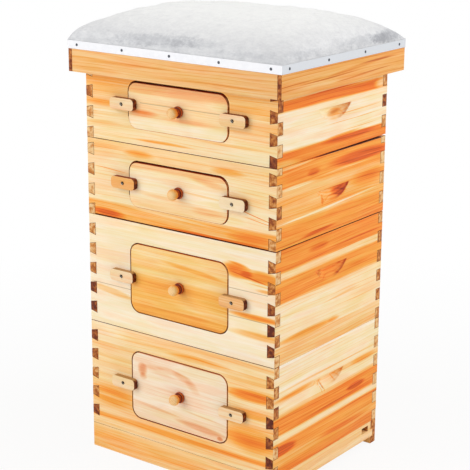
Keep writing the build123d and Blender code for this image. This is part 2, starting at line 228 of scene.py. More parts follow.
def firFinish(name, look):
    material, add, coords = newFinish(name)
    look = {**plainFir, **look}
    bottom, height, seed = look["bottom"], look["height"], look["seed"]
    inMm = add("VectorMath", [coords["Object"], (1 / mm,) * 3], "MULTIPLY")
    spot = add("SeparateXYZ", [inMm]).outputs
    facing = add("SeparateXYZ", [coords["Normal"]]).outputs
    along, across, through = (spot[axis] for axis in grainAxes[look["grain"]])
    endwise, outward = (facing[axis] for axis in grainAxes[look["grain"]][::2])
    flat = add("ABSOLUTE", [outward])
    ownAlong, ownAcross = (add("ADD", [way, step * seed])
                           for way, step in zip((along, across), seedSteps))
    ownPlace = add("CombineXYZ", [ownAlong, ownAcross, through])
    waver, bands, fibre, rings = add("Group", [ownPlace], node_tree=grainGroup).outputs

    # strips from the bottom up, each (upper edge, tone), a little wavy where they meet
    wavy = add("MULTIPLY_ADD", [waver, 0.5, across])
    share = add("MapRange", [wavy, bottom, bottom + height])
    lowest, span = firLook["strips"]
    stops = []
    low = 0.0
    soft = min(firLook["stripEdge"], height / 20)
    for high, tone in look.get("strips") or [(height, look["tone"])]:
        grey = (tone - lowest) / span
        stops += [((low + soft) / height, grey), (max(low + soft, high - soft) / height, grey)]
        low = high
    tone = add("MULTIPLY_ADD", [add("ValToRGB", [share], stops=stops), span, lowest])
    swing = add("MapRange", [bands, 0.25, 0.75, -look["life"], look["life"]])
    tone = add("ADD", [tone, swing])
    tone = addPatches(add, tone, (along, across, waver, bands), bottom, look["streaks"])
    for limit, operation in zip(firLook["streaked"], ("MAXIMUM", "MINIMUM")):
        tone = add(operation, [tone, limit])
    fine = add("MapRange", [fibre, 0.3, 0.75, *firLook["fine"]])
    tone = add("ADD", [tone, fine])
    tone = add("MULTIPLY_ADD", [rings, look["rings"], tone])

    # a hand-hold cuts through the rings, so they show as ovals, and is painted darker where its slope faces
    # away, as shade
    if "hold" in look:
        grip = firLook["grip"]
        face, ledge, reach = look["hold"]
        ovalTone, slopeShadeTone = look["scoop"]
        slopeShade, edgeShade = look["gripDirt"]
        depth = add("SUBTRACT", [face, add("ABSOLUTE", [through])])
        scoop = add("MapRange", [depth, *grip["starts"]])
        scoop = within(add, scoop, (depth, grip["depth"] / 2, grip["depth"] / 2), (along, 0.0, reach),
                       (across, bottom + ledge - grip["below"], grip["half"]))
        rows = add("MULTIPLY_ADD", [across, grip["tilt"], depth])
        rows = add("DIVIDE", [rows, grip["spacing"]])
        rows = add("PINGPONG", [rows, 0.5])
        ovals = add("MapRange", [rows, 0.0, grip["ovals"], ovalTone, 0.0])
        slope = add("MapRange", [endwise, grip["near"], grip["far"], -0.02, slopeShadeTone])
        deeper = add("ADD", [ovals, slope])
        tone = add("MULTIPLY_ADD", [scoop, deeper, tone])
        # painted shade and dirt: brown on the far slope, darkest along its lower edge, and in smudges laid as
        # streaks are
        shadeAndDirt = add("MapRange", [endwise, -grip["near"], grip["far"], 0.0, slopeShade])
        farSide = add("MapRange", [endwise, *grip["dark"]])
        edge = add("MapRange", [depth, *grip["edge"], edgeShade, 0.0])
        shadeAndDirt = add("MULTIPLY_ADD", [edge, farSide, shadeAndDirt])
        shadeAndDirt = addPatches(add, shadeAndDirt, (along, across, 0.0, bands), bottom, look["smudges"])
        shadeAndDirt = add("MULTIPLY", [scoop, shadeAndDirt])

    # painted shade: an upper edge is darkened where the seam over it gapes; on one board it is made paler
    # instead
    if "stained" in look:
        start, end, amount, deep = look["stained"]
        upper = add("GREATER_THAN", [across, bottom + height - deep])
        far = add("MapRange", [along, start, end, 0.0, amount])
        tone = add("MULTIPLY_ADD", [upper, far, tone])

    # turned pieces: painted light, paler to one side of the axis, and bands, each (start, end, tone):
    # scorched grooves, and painted shade on the head
    turnedTone = 0.0
    if "heart" in look:
        middle, half, amount = look["heart"]
        turnedTone = add("MapRange", [through, middle - half, middle + half, 0.0, amount],
                         interpolation_type="SMOOTHSTEP")
    for start, end, amount in look["scorched"]:
        inside = add("COMPARE", [along, (start + end) / 2, (end - start) / 2])
        turnedTone = add("MULTIPLY_ADD", [inside, amount, turnedTone])
    tone = add("ADD", [tone, turnedTone])

    # walls cut by a hot, fast cutter are charred: all that faces neither in nor out
    if "charred" in look:
        halfLength, level, halfHeight, amount = look["charred"]
        burn = within(add, add("LESS_THAN", [flat, flatFacing]),
                      (along, 0.0, halfLength), (across, bottom + level, halfHeight))
        tone = add("MULTIPLY_ADD", [burn, amount, tone])
    # painted shadow of the gap over a shutter that sits low and to the left: its face is darkened along its
    # upper and right edges, all that is outside its own outline when that is moved to the lower left
    if "burnt" in look:
        halfEnd, halfTop, corner, reach, amount = look["burnt"]
        ways = []
        for way, centre, half in ((along, 0.0, halfEnd), (across, bottom + height / 2, halfTop)):
            way = add("SUBTRACT", [way, centre - reach])
            way = add("ABSOLUTE", [way])
            way = add("SUBTRACT", [way, half - corner])
            ways.append(add("MAXIMUM", [way, 0.0]))
        away = add("VectorMath", [add("CombineXYZ", ways)], "LENGTH").outputs[1]
        fades = firLook["singedEdge"]
        singed = add("MapRange", [away, corner - fades, corner + fades, 0.0, amount])
        front = add("GREATER_THAN", [flat, flatFacing])
        tone = add("MULTIPLY_ADD", [front, singed, tone])
    low, high = toneLevels[0], toneLevels[-1]
    colour = add("ValToRGB", [add("MapRange", [tone, low, high])], stops=[
        ((level - low) / (high - low), code) for level, code in zip(toneLevels, look["tones"])])

    # light and oil tint the wood unevenly, here yellower, there pinker
    tint = add("VectorMath", [ownPlace, firLook["tintSpread"]], "DIVIDE")
    tint = add("TexNoise", {"Vector": tint, "Scale": 1.0, "Detail": 2})
    tint = add("ValToRGB", [tint], stops=firLook["tints"])
    colour = add("Mix", {0: 1.0, 6: colour, 7: tint}, data_type="RGBA", blend_type="MULTIPLY").outputs[2]
    # the hand-hold's painted shade and dirt, multiplied into the colour
    if "hold" in look:
        colour = add("Mix", {0: shadeAndDirt, 6: colour, 7: grip["colour"]}, data_type="RGBA",
                     blend_type="MULTIPLY").outputs[2]

    # straight glue lines between strips, each (height, start, end)
    for level, start, end in look["glueLines"]:
        gap = add("SUBTRACT", [across, bottom + level])
        gap = add("ABSOLUTE", [gap])
        line = add("MapRange", [gap, *firLook["glue"]["half"], firLook["glue"]["share"], 0.0])
        line = within(add, line, (along, (start + end) / 2, (end - start) / 2))
        colour = add("Mix", {0: line, 6: colour, 7: firLook["glue"]["colour"]}, data_type="RGBA").outputs[2]

    # end grain: cut rings, browner, each pin or tail with its own depth of colour
    pitch, first = look["ends"]
    number = add("SUBTRACT", [across, bottom + first - pitch / 4])
    number = add("DIVIDE", [number, pitch])
    number = add("FLOOR", [number])
    side = add("SIGN", [along])
    chance = add("TexWhiteNoise", {"Vector": add("CombineXYZ", [number, side, float(seed)])},
                 noise_dimensions="3D")
    depth = add("MULTIPLY_ADD", [chance, look["endSpread"], look["endTone"]])
    if "endTones" in look:
        # from the bottom up, at the end that shows
        count = len(look["endTones"])
        place = add("ADD", [number, 0.5])
        place = add("DIVIDE", [place, count])
        own = add("ValToRGB", [place], stops=[
            (index / count, amount) for index, amount in enumerate(look["endTones"])])
        own.color_ramp.interpolation = "CONSTANT"
        near = add(shownEnds[look["grain"]], [along, 0.0])
        depth = add("Mix", {0: near, 2: depth, 3: own})
    cuts = firLook["endRings"]
    pith = (cuts["pith"][0], bottom + cuts["pith"][1], 0)
    away = add("VectorMath", [add("CombineXYZ", [through, across]), pith], "DISTANCE").outputs[1]
    cut = add("DIVIDE", [away, cuts["spacing"]])
    cut = add("PINGPONG", [cut, 0.5])
    cut = add("MULTIPLY_ADD", [cut, 2 * cuts["depth"], -cuts["depth"] / 2])
    blot = add("TexNoise", {"Vector": inMm, "Scale": 1 / cuts["patch"], "Detail": 2})
    blot = add("MapRange", [blot, 0.3, 0.7, -look["endPatch"], look["endPatch"]])
    for more in (cut, blot, turnedTone):
        depth = add("ADD", [depth, more])
    endColour = add("ValToRGB", [depth], stops=look["endColours"])
    ends = add("MapRange", [add("ABSOLUTE", [endwise]), *firLook["endFacing"]])
    colour = add("Mix", {0: ends, 6: colour, 7: endColour}, data_type="RGBA").outputs[2]

    # planed and oiled: a dull sheen that the fibres break up
    rough = add("MapRange", [fibre, 0.3, 0.7, *firLook["roughness"]])
    relief = add("MULTIPLY_ADD", [rings, -0.5, fibre])
    bump = add("Bump", {"Height": relief, "Strength": firLook["strength"],
                        "Distance": firLook["relief"] * mm})
    add("OutputMaterial", [add("BsdfPrincipled", {
        "Base Color": colour, "Roughness": rough, "Normal": bump, "IOR": firLook["ior"],
        "Specular IOR Level": firLook["specular"]})])
    return material


def patchyFinish(name, look):
    # colour, sheen or both in patches of a size in mm; a painted glint, a painted highlight, makes it paler
    # where it faces one way and darker elsewhere, given as (that way, from and to how nearly it is faced,
    # shades added there)
    material, add, coords = newFinish(name)
    patch = shade = add("TexNoise", {"Vector": coords["Object"], "Scale": 1 / (look["patch"] * mm),
                                     "Detail": look["detail"]})
    sockets = dict(look["plain"])
    if "bare" in look:
        way, *added = look["bare"]
        facing = add("VectorMath", [coords["Normal"], way], "DOT_PRODUCT").outputs[1]
        shade = add("ADD", [patch, add("MapRange", [facing, *added])])
    if "colours" in look:
        sockets["Base Color"] = add("ValToRGB", [shade], stops=look["colours"])
    if "sheen" in look:
        sockets["Roughness"] = add("MapRange", [patch, *look["sheen"]])
    add("OutputMaterial", [add("BsdfPrincipled", sockets)])
    return material


# Glue and dust, and painted shade of the seam, in the arris between two pieces: a thin dark brown line, quite
# matt.
glueAndShadeLook = {"patch": 14, "detail": 2, "colours": [(0.3, "#481200"), (0.7, "#7E360E")],
            "plain": {"Roughness": 0.85, "Specular IOR Level": 0.1}}
glueLine = patchyFinish("glueLine", glueAndShadeLook)
print("fir ready")


def newObject(name, data):
    made = bpy.data.objects.new(name, data)
    bpy.context.scene.collection.objects.link(made)
    return made


def closePiece(node, suffix, shape, finishes, sharpAngle=None):
    # the finished shape becomes the piece that stands for its node
    mesh = bpy.data.meshes.new(f"{node}_{suffix}")
    shape.to_mesh(mesh)
    shape.free()
    for finish in finishes:
        mesh.materials.append(finish)
    if sharpAngle:
        for face in mesh.polygons:
            face.use_smooth = True
        mesh.set_sharp_from_angle(angle=math.radians(sharpAngle))
    piece = newObject(f"{node}_{suffix}", mesh)
    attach(piece, nodeBody[node])
    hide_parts(node)


arrisAngle, smoothAngle = 35, 25  # degrees: edges that are eased, edges that then look smooth
underFace, weld = 0.4, 0.001  # mm: so far under a face is inside its solid, corners so near are one


def ease(node, finishes, radius, isLine=None, lift=None, solidOf=None):
    # the node's own shape with its arrises taken off, lines between pieces in the second finish; lift tells
    # how far an open edge stands up, and solidOf tells touching solids apart, as (name, finish)
    source = frame["nodes"][node].data
    shape = bmesh.new()
    solids = {}
    for face in source.polygons:
        inside = face.center / mm - face.normal * underFace
        solids.setdefault(solidOf(inside) if solidOf else ("whole", 0), []).append(face)
    for (label, finish), faces in solids.items():
        corners = {}
        for index in (index for face in faces for index in face.vertices):
            if index not in corners:
                corners[index] = shape.verts.new(source.vertices[index].co)
        for face in faces:
            shape.faces.new([corners[index] for index in face.vertices]).material_index = finish
        bmesh.ops.remove_doubles(shape, verts=list(corners.values()), dist=weld * mm)
    for vert in shape.verts if lift else ():
        vert.co.z += lift(vert.co / mm) * mm
    sharp = [edge for edge in shape.edges if edge.is_manifold
             and edge.calc_face_angle() > math.radians(arrisAngle)]
    made = bmesh.ops.bevel(shape, geom=sharp, offset=radius * mm, offset_type="OFFSET", segments=2,
                           profile=0.5, affect="EDGES", clamp_overlap=True, material=-1)
    for face in made["faces"]:
        if isLine and isLine(face.calc_center_median() / mm):
            face.material_index = 1
    closePiece(node, "eased", shape, finishes, smoothAngle)


# The boxes. Strips go from the bottom of a board up, each (upper edge in mm, tone). Streaks, and the smudges
# of painted shade and dirt in the hand-holds, are (middle along the board, height over the bottom of the box,
# half length, half width, slope, tone added). A painted seam light is (start, end, tone added, depth). End
# tones go from the bottom up.
boxSizes = {
    "length": 500, "width": 410, "board": 18, "floor": 57, "deep": 247, "medium": 170, "finger": 22.45,
    "arris": 0.8, "window": 132, "windowHeight": {"deep": 78.5, "medium": 50.5}, "shutterPlay": 2,
    "shutterCorner": 22, "singed": {"deep": 0.7, "medium": 2.2}, "charring": 0.7, "holdDrop": 74,
    "holdReach": 66, "seam": 1.0, "corner": 0.7, "opening": 3, "cutter": 4,  # reach of lines and charring
    "closed": (14, 12),  # a medium shutter shows no gap from so far left of its right end, below its middle
}
wholePiece = 400  # reaches past any piece, in mm
boxNames = ("lower_deep", "upper_deep", "lower_medium", "upper_medium")
lowerDeepLooks = {
    "left_board": {"endTones": [0.75, 0.5, 0.35, 0.7, 0.75]},
    "front_board": {
        "endTones": [0.3, 0.15, 0.5, 0.6, 0.4, 0.15], "life": 0.2,
        "strips": [(22, 0.24), (34, 0.58), (46, 0.34), (108, 0.34), (190, 0.26), (247, 0.26)],
        "streaks": [
            (-190, 78, 75, 30, 0, 0.26), (195, 76, 85, 32, 0, 0.38), (200, 173, 80, 15, 0.03, 0.6),
            (195, 132, 75, 12, 0, 0.36), (55, 217, 95, 9, 0, 0.3), (120, 238, 190, 6, 0, 0.14),
            (190, 205, 80, 14, 0, 0.2), (-205, 228, 90, 20, 0, -0.16), (-195, 168, 75, 18, 0, 0.05),
            (-190, 40, 80, 8, 0, -0.12)]},
    "right_board": {
        "endTones": [0.85, 0.7, 1.0, 0.45, 0.5], "scoop": (0.1, 0.2), "gripDirt": (0.4, 0.1),
        # this board's painted seam light is paler, not darker
        "stained": (-206, -200, -0.4, 0.9), "smudges": [(-24, 152, 11, 3.2, -1.7, 0.6)], "life": 0.16,
        "rings": 0.26,
        "strips": [(22, 0.74), (44, 0.5), (68, 0.64), (76, 0.68), (92, 0.14), (132, 0.7), (140, 0.45),
                   (163, 0.16), (177, 0.34), (190, 0.14), (243, 0.04), (247, -0.3)],
        "streaks": [
            (-175, 56, 62, 13, 0, 0.62), (112, 114, 42, 9, 0, 0.45), (40, 100, 190, 4, 0, 0.22),
            (-130, 170, 75, 7, 0.03, 0.3), (140, 168, 60, 8, 0, 0.26), (0, 186, 215, 2.4, 0, 0.26),
            (60, 34, 120, 8, 0, 0.3), (0, 240, 200, 3, 0, 0.08), (-21, 152, 9, 3.6, -1.7, 0.5),
            (-30, 150, 8, 3, -1.7, 0.4), (22, 158, 7, 4, -1.2, 0.3)]},
    "shutter": {
        "strips": [(88, 0.1), (247, 0.0)], "life": 0.1, "rings": 0.1, "tones": pinkTones,
        "streaks": [
            (-102, 165, 15, 17, 0, 0.56), (-100, 150, 12, 9, 0, 0.32), (-72, 176, 34, 6, 0.06, 0.24),
            (-28, 177, 38, 8, -0.06, 0.24), (14, 169, 34, 10, -0.22, 0.26), (36, 156, 22, 12, -0.4, 0.22),
            (-52, 166, 44, 8, -0.1, 0.16), (4, 176, 30, 2.4, -0.2, 0.2), (62, 66, 72, 9, -0.06, 0.5),
            (112, 56, 10, 6, 0, 0.55), (-60, 80, 70, 4, -0.06, 0.26), (70, 92, 60, 2, -0.06, 0.3),
            (10, 130, 120, 3, 0, 0.12), (60, 142, 80, 2, -0.02, 0.2), (-20, 112, 110, 1.6, 0, 0.2)]},
}
upperDeepLooks = {
    "left_board": {"endTones": [0.9, 0.85, 0.5, 0.2, 0.35]},
    "back_board": {"endTones": [0.35, 0.5, 0.4, 0.5, 0.5, 0.25]},
    "front_board": {
        "endTones": [0.15, 0.5, 0.15, 0.3, 0.1, 0.15], "stained": (-250, -240, 1.6, 0.9),
        "strips": [(93, 0.0), (156, 0.02), (247, 0.03)], "life": 0.09, "rings": 0.05,
        "glueLines": [(93, -245, -132), (92, 132, 232), (152, 132, 232)],
        "streaks": [
            (152, 192, 42, 19, -0.04, 0.78), (218, 187, 58, 16, 0, 0.76), (160, 205, 34, 3, -0.14, 0.26),
            (190, 180, 60, 2, -0.16, 0.4), (215, 168, 50, 2.4, -0.04, 0.34), (230, 158, 34, 5, 0, 0.4),
            (205, 99, 85, 8, 0.02, 0.72), (215, 62, 90, 10, 0, 0.52), (-185, 79, 75, 9, -0.12, 0.44),
            (-190, 160, 60, 26, 0, 0.08), (0, 238, 240, 5, 0, 0.1), (-60, 20, 180, 6, 0, 0.06)]},
    "right_board": {
        "endTones": [0.9, 1.0, 0.75, 0.5, 0.5], "stained": (-206, -200, 1.3, 0.9), "scoop": (0.16, 0.04),
        "gripDirt": (0.32, 0.8), "smudges": [(-44, 163, 14, 9, 0.3, 0.36)], "life": 0.15, "rings": 0.22,
        "strips": [(41, 0.36), (61, 0.16), (131, 0.1), (183, 0.66), (201, 0.28), (247, 0.72)],
        "streaks": [
            (-85, 49, 125, 9, 0, 0.55), (15, 50, 22, 7, 0, 0.2), (50, 97, 90, 2.6, 0.03, 0.26),
            (-90, 116, 100, 2, 0.03, 0.18), (130, 80, 80, 22, 0, 0.1), (-50, 226, 40, 8, 0, 0.22),
            (90, 214, 130, 3, 0, 0.16), (110, 150, 50, 3, 0, 0.16)]},
    "shutter": {
        "strips": [(66, 0.58), (98, 0.44), (134, 0.54), (148, 0.24), (172, 0.36), (247, 0.28)], "life": 0.14,
        "tones": amberTones,
        "streaks": [
            (40, 168, 95, 6, -0.1, 0.34), (-40, 120, 130, 7, -0.03, 0.12), (0, 66, 140, 3, 0, 0.2),
            (-70, 186, 60, 8, 0, -0.08), (60, 82, 80, 5, 0, -0.12)]},
}
lowerMediumLooks = {
    "left_board": {"endTones": [0.2, 0.1, 0.2, 0.05]},
    "front_board": {
        "endTones": [0.2, 0.5, 0.1, 0.15], "strips": [(34, 0.5), (136, 0.15), (170, 0.3)], "life": 0.15,
        "streaks": [
            (-195, 9, 60, 10, -0.03, 0.5), (90, 4, 170, 4, 0, 0.46), (190, 18, 70, 12, 0, 0.26),
            (-20, 28, 140, 5, -0.02, -0.18), (-105, 150, 46, 9, 0, 0.3), (130, 146, 46, 9, 0, 0.28),
            (-200, 156, 60, 5, 0, 0.16), (195, 66, 52, 1.0, -0.2, 0.8), (208, 56, 40, 0.9, -0.14, 0.6),
            (-185, 106, 55, 1.1, -0.06, 0.5), (190, 100, 60, 16, 0, 0.14)]},
    "right_board": {
        "endTones": [0.35, 0.55, 0.55, 0.5], "stained": (-90, 40, 1.6, 2.0), "scoop": (0.16, 0.4),
        "gripDirt": (0.5, 0.7), "strips": [(50, 0.66), (120, 0.48), (170, 0.68)], "life": 0.16, "rings": 0.24,
        "streaks": [
            (110, 144, 130, 15, 0, 0.42), (-120, 143, 80, 13, 0, 0.1), (-140, 122, 85, 4, 0, -0.42),
            (60, 130, 150, 3, 0.02, -0.3), (20, 58, 240, 2.6, 0.03, -0.42), (140, 92, 80, 22, 0, 0.24),
            (-55, 12, 70, 5, 0.04, 0.34), (-75, 140, 24, 8, 0, 0.24), (-150, 165, 95, 4, 0.01, -0.42),
            (26, 82, 26, 13, 0, 0.34), (-40, 74, 6, 12, 0, 0.3)]},
    "shutter": {
        "strips": [(62, 0.28), (118, 0.08), (170, 0.46)], "life": 0.13, "tones": blushTones,
        "streaks": [
            (-40, 67, 80, 5, -0.02, 0.28), (80, 52, 50, 9, 0, 0.2), (60, 86, 60, 2.6, -0.04, 0.4),
            (90, 112, 60, 8, -0.1, 0.32), (-90, 98, 60, 5, 0, -0.1)]},
}
upperMediumLooks = {
    "left_board": {"endTones": [0.15, 0.2, 0.5, 0.0]},
    "back_board": {"endTones": [0.3, 0.75, 0.3, 0.3]},
    "front_board": {
        "endTones": [0.05, 0.35, 0.6, 0.4], "life": 0.15,
        "strips": [(24, 0.14), (58, 0.24), (98, 0.36), (170, 0.42)],
        "streaks": [
            (-195, 82, 65, 7, 0, 0.2), (-195, 115, 65, 14, 0, 0.08), (190, 85, 65, 26, 0, -0.06),
            (-40, 12, 95, 4, 0, 0.42), (-190, 62, 65, 5, 0, -0.22), (180, 16, 70, 7, 0, -0.1),
            (120, 31, 130, 3, 0, 0.2), (-200, 36, 55, 6, 0, 0.16)]},
    "right_board": {
        "endTones": [0.9, 0.6, 0.6, 0.8], "scoop": (0.1, 0.45), "gripDirt": (0.55, 0.3), "life": 0.14,
        "smudges": [(2, 82, 30, 8, 0.1, 0.26), (5, 82, 17, 4, 0.1, 0.2)],
        "strips": [(30, 0.78), (109, 0.02), (130, 0.78), (170, 0.36)],
        "streaks": [
            (60, 24, 110, 9, 0, 0.3), (40, 33, 75, 3, 0.02, 0.5), (185, 120, 42, 14, 0, -0.6),
            (-175, 3, 60, 8, 0, -0.3), (90, 76, 120, 1.6, 0, 0.42), (70, 60, 130, 1.2, 0, 0.5),
            (100, 40, 90, 1.4, 0, 0.42), (-20, 131, 130, 2.4, 0.01, 0.5), (2, 82, 31, 9, 0.1, 0.42)]},
    "shutter": {
        "strips": [(59, 0.04), (79, 0.26), (112, 0.26), (170, 0.46)], "life": 0.11, "tones": blushTones,
        "glueLines": [(91, -100, 130)], "streaks": [(-95, 70, 52, 9, 0, 0.4), (40, 66, 90, 6, 0, 0.2)]},
}
boxLooks = dict(zip(boxNames, (lowerDeepLooks, upperDeepLooks, lowerMediumLooks, upperMediumLooks)))
# end tone and spread, where the board hasn't the usual ones
boardEnds = {"back_board": (-0.06, 0.25), "left_board": (0.3, 0.6), "right_board": (0.3, 0.6)}
# lower edges that don't quite close: the seam under the top box gapes to the back, the next one all along
openSeams = {"upper_medium_right_board": lambda point: max(0.0, point.y + 90) / 290 * 3.4,
             "lower_medium_right_board": lambda point: 1.2,
             "lower_medium_front_board": lambda point: 1.9}
halfLength, halfWidth, board = boxSizes["length"] / 2, boxSizes["width"] / 2, boxSizes["board"]


def boxes():
    # from the bottom up: order, name, size, level of the lower edge and height
    level = boxSizes["floor"]
    for order, name in enumerate(boxNames):
        size = name.split("_")[1]
        yield order, name, size, level, boxSizes[size]
        level += boxSizes[size]


# boards on the sides that face away: strips and streaks of the same kinds
hiddenSizes = {"strip": (28, 75), "tones": (0.04, 0.1, 0.2, 0.34, 0.44, 0.56, 0.62), "streaks": 8,
               "middle": (-220, 220), "edge": 8, "halfLength": (60, 150), "halfWidth": (3, 14),
               "slope": (-0.06, 0.06), "added": (-0.3, 0.25, 0.4, 0.6), "life": 0.15}


def hiddenLook(seed, height):
    chance, sizes = random.Random(seed), hiddenSizes
    strips = []
    top = 0.0
    while top < height:
        top = min(height, top + chance.uniform(*sizes["strip"]))
        strips.append((top, chance.choice(sizes["tones"])))
    streaks = [(chance.uniform(*sizes["middle"]), chance.uniform(sizes["edge"], height - sizes["edge"]),
                chance.uniform(*sizes["halfLength"]), chance.uniform(*sizes["halfWidth"]),
                chance.uniform(*sizes["slope"]), chance.choice(sizes["added"]))
               for index in range(sizes["streaks"])]
    return {"strips": strips, "life": sizes["life"], "streaks": streaks}


for order, name, size, level, height in boxes():
    window = boxSizes["windowHeight"][size]

    def inJoint(point):
        # arrises of the dovetails, the window and the top and bottom edges, but not of the outer corners
        x, y, z = abs(point.x), abs(point.y), point.z
        seam, outer, reach = (boxSizes[key] for key in ("seam", "corner", "opening"))
        if x > halfLength - outer and y > halfWidth - outer:
            return False
        edge = min(z - level, level + height - z) < seam and node != "lower_deep_right_board"
        corner = x > halfLength - board - seam and y > halfWidth - board - seam
        opening = x < boxSizes["window"] + reach and abs(z - level - height / 2) < window + reach
        left, low = boxSizes["closed"]
        if size == "medium" and z < level + height / 2 - low and point.x < boxSizes["window"] - left:
            opening = False  # these shutters sit low and to the left
        return edge or corner or (opening and y > halfWidth - board / 2)

    def seamLift(point):
        return openSeams[node](point) if point.z < level + 0.1 else 0.0

    for offset, piece in enumerate(("front_board", "right_board", "back_board", "left_board", "shutter")):
        node = f"{name}_{piece}"
        seed = order * 5 + offset + 1
        isSide = piece in ("right_board", "left_board")
        endTone, endSpread = boardEnds.get(piece, (0.02, 0.5))
        look = {"bottom": level, "height": height, "seed": seed, "grain": "y" if isSide else "x",
                "endTone": endTone, "endSpread": endSpread, **hiddenLook(seed, height),
                **boxLooks[name].get(piece, {})}
        # pins and tails take turns, and a deep box starts with the other one than a medium box
        look["ends"] = (2 * boxSizes["finger"], boxSizes["finger"] if isSide == (size == "deep") else 0)
        if isSide:
            look["hold"] = (halfLength, height - boxSizes["holdDrop"], boxSizes["holdReach"])
        if piece == "front_board":
            cutter = boxSizes["cutter"]
            look["charred"] = (boxSizes["window"] + cutter, height / 2, window + cutter, boxSizes["charring"])
        if piece == "shutter":
            look["charred"] = (wholePiece, height / 2, wholePiece, boxSizes["charring"])
            # the painted shadow of the gap along the shutter's upper and right edges
            look["burnt"] = (boxSizes["window"] - boxSizes["shutterPlay"], window - boxSizes["shutterPlay"],
                             boxSizes["shutterCorner"], boxSizes["singed"][size], 1.0)
        ease(node, [firFinish(f"planedFir_{node}", look), glueLine], boxSizes["arris"], inJoint,
             seamLift if node in openSeams else None)
print("boxes dressed")

# Turn buttons: sanded offcuts, nearly white on the face, scorched brown round the edge by the cutter.
buttonLook = {"grain": "x", "life": 0.07, "rings": 0.06, "height": 30, "endTone": 0.95, "endSpread": 0.1}
buttonTones = {"lower_deep": (0.2, 0.22), "upper_deep": (0.2, 0.4), "lower_medium": (0.5, 0.1),
               "upper_medium": (0.22, 0.24)}  # left and right, each cut from another board
edgeTones = {"deep": 0.75, "medium": 1.25}  # the upper and lower edges, scorched more on the small boxes
for order, name, size, level, height in boxes():
    for side, label, tone in zip((-1, 1), ("left", "right"), buttonTones[name]):
        node = f"{name}_{label}_button"
        look = {**buttonLook, "tone": tone, "bottom": level + height / 2 - buttonLook["height"] / 2,
                "seed": 40 + order * 2 + side, "tones": rimTones if tone > 0.45 else sandedTones,
                "charred": (wholePiece, buttonLook["height"] / 2, wholePiece, edgeTones[size] - tone)}
        ease(node, [firFinish(f"sandedFir_{node}", look), glueLine], boxSizes["arris"])
print("buttons dressed")

# Knobs: turned on a lathe, smooth pale head, dark scorched grooves at the neck and the collar; the head has
# painted shade and painted light to look round.
knobLook = {
    "grain": "y", "tone": 0.4, "life": 0.1, "height": 60, "endTone": 0.1, "endSpread": 0.06, "endPatch": 0.06,
    "endColours": [(0.0, "#FFD79A"), (0.2, "#E4AC70"), (0.5, "#C56C26"), (0.8, "#853210"), (1.0, "#5C1C08")],
    "rings": 0.12,
}
knobSideLight = (1.0, 7.05, -0.12)  # painted light, paler to one side: middle beside the axis, half width, tone added
knobBands = [  # from and to so far out of the shutter in mm, tone added
    (27.0, 9.5, 0.08), (24.5, 9.5, 0.1), (22.0, 9.5, 0.1), (19.5, 9.5, 0.1), (17.0, 9.5, 0.1),  # head: painted shade, darker towards the collar
    (6.0, 0.0, 0.94), (2.6, 1.6, -0.3), (5.6, 4.6, -0.3), (10.3, 6.0, 0.8)]  # collar, its rings, neck
knobShape = {"turns": 64, "collar": (9.6, 12.5), "neck": 6.5, "head": 11.75, "headStart": 9.5, "length": 32.0,
             "collarLength": 6.0, "tenon": (4.5, 10.0), "tip": 1.2, "sharp": 40}


def knobOutline():
    # (radius, distance out of the shutter) from the tenon to the tip, in mm
    neck, head, start, length, out = (knobShape[key] for key in (
        "neck", "head", "headStart", "length", "collarLength"))
    slim, full = knobShape["collar"]
    radius, deep = knobShape["tenon"]
    points = [(radius, -deep), (radius, 0), (slim, 0)]
    for step in range(1, 8):
        turn = math.pi * step / 8
        points.append((slim + (full - slim) * math.sin(turn), out * (1 - math.cos(turn)) / 2))
    points += [(slim - 0.6, out), (neck + 0.9, out + 0.3), (neck, out + 1.4), (neck, start - 1.2),
               (neck + 0.7, start - 0.2)]
    middle, half = (start + length) / 2, (length - start) / 2
    for step in range(4, 23):
        turn = math.pi * step / 24 - math.pi / 2
        points.append((head * math.cos(turn) ** 0.9, middle + half * math.sin(turn)))
    return points + [(knobShape["tip"], length - 0.02)]


def outOfFront(centre, side, up, out):
    return centre[0] + side, centre[1] - out, centre[2] + up


def turned(node, suffix, outline, look, spots, finish, carve=None):
    # round solids, closed at both ends, from an outline of (radius, out); each spot turns (side, up, out)
    # into the hive's frame, and carve tells how deep a point of the head is cut
    shape = bmesh.new()
    turns = look["turns"]
    for spot in spots:
        rows = []
        for radius, out in outline:
            row = []
            for step in range(turns):
                angle = 2 * math.pi * step / turns
                side, up = radius * math.cos(angle), radius * math.sin(angle)
                cut = carve(radius, side, up) if carve and out > 0 else 0.0
                row.append(shape.verts.new(spot(side, up, out - cut)))
            rows.append(row)
        for lower, upper in zip(rows, rows[1:]):
            for step in range(turns):
                after = (step + 1) % turns
                shape.faces.new((lower[step], lower[after], upper[after], upper[step]))
        shape.faces.new(rows[0])
        shape.faces.new(rows[-1])
    bmesh.ops.recalc_face_normals(shape, faces=shape.faces)
    bmesh.ops.scale(shape, vec=(mm, mm, mm), verts=shape.verts)
    closePiece(node, suffix, shape, [finish], look["sharp"])


for order, name in enumerate(boxNames):
    node = f"{name}_knob"
    low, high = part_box(node)
    centre = ((low.x + high.x) / 2 / mm, -halfWidth, (low.z + high.z) / 2 / mm)
    beside, *heart = knobSideLight
    look = {**knobLook, "bottom": centre[2] - knobLook["height"] / 2, "seed": 60 + order,
            "heart": (centre[0] + beside, *heart),
            "scorched": [(centre[1] - far, centre[1] - near, tone) for far, near, tone in knobBands]}
    turned(node, "turned", knobOutline(), knobShape, [partial(outOfFront, centre)],
           firFinish(f"turnedFir_{node}", look))
print("knobs turned")

